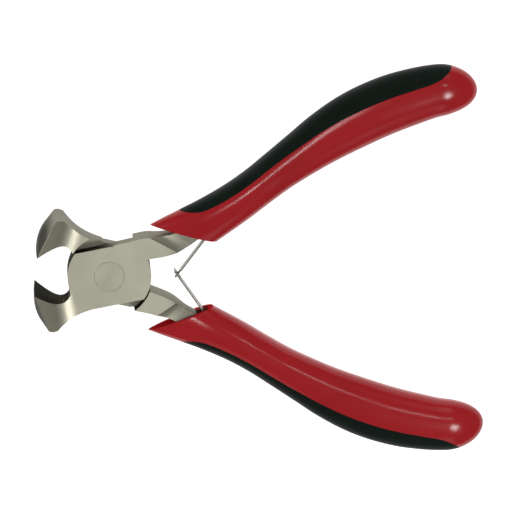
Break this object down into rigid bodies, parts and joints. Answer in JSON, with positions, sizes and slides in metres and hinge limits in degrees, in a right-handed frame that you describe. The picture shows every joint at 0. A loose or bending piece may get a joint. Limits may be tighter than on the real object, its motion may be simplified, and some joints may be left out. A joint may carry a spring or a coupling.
{
  "type": "end cutting nippers",
  "caption": "Compact end cutting nippers with a flush lap joint, wide flared jaws, interlocking leaf return springs and sleeved handles with dark inlays.",
  "frame": {"origin": "on the pivot's axis, at the back outer face of the lap joint", "axes": "+X from the pivot towards the handles' ends, +Y towards the upper handle, +Z out of the front face of the joint"},
  "size_m": [0.1239, 0.1096, 0.0189],
  "materials": {
    "forged_steel": "satin, fine ground",
    "spring_steel": "satin",
    "grip_red": "glossy moulded",
    "grip_black": "matte moulded"
  },
  "bodies": {
    "front_body": {"front_half": "forged_steel", "pivot_rivet": "forged_steel", "upper_spring_pin": "spring_steel", "upper_grip_sleeve": "grip_red", "upper_grip_inlay": "grip_black"},
    "rear_body": {"rear_half": "forged_steel", "lower_spring_pin": "spring_steel", "lower_grip_sleeve": "grip_red", "lower_grip_inlay": "grip_black"},
    "upper_leaf": {"upper_leaf_spring": "spring_steel"},
    "lower_leaf": {"lower_leaf_spring": "spring_steel"}
  },
  "joints": [
    {"name": "pivot", "type": "hinge", "parent": "front_body", "child": "rear_body", "pos_m": [0, 0, 0.00425], "axis": [0, 0, 1], "range_deg": [0, 28.8], "stiffness_Nm_per_rad": 0.6, "springref_deg": -20.05},
    {"name": "upper_leaf_swing", "type": "hinge", "parent": "front_body", "child": "upper_leaf", "pos_m": [0.02834, 0.01136, 0.00425], "axis": [0, 0, 1], "range_deg": [-20, 0.5]},
    {"name": "lower_leaf_swing", "type": "hinge", "parent": "rear_body", "child": "lower_leaf", "pos_m": [0.02693, -0.01317, 0.00425], "axis": [0, 0, 1], "range_deg": [-0.5, 22]}
  ],
  "couplings": [
    {"joint": "upper_leaf_swing", "follows": "pivot", "ratio": -0.6774},
    {"joint": "lower_leaf_swing", "follows": "pivot", "ratio": 0.7477}
  ]
}
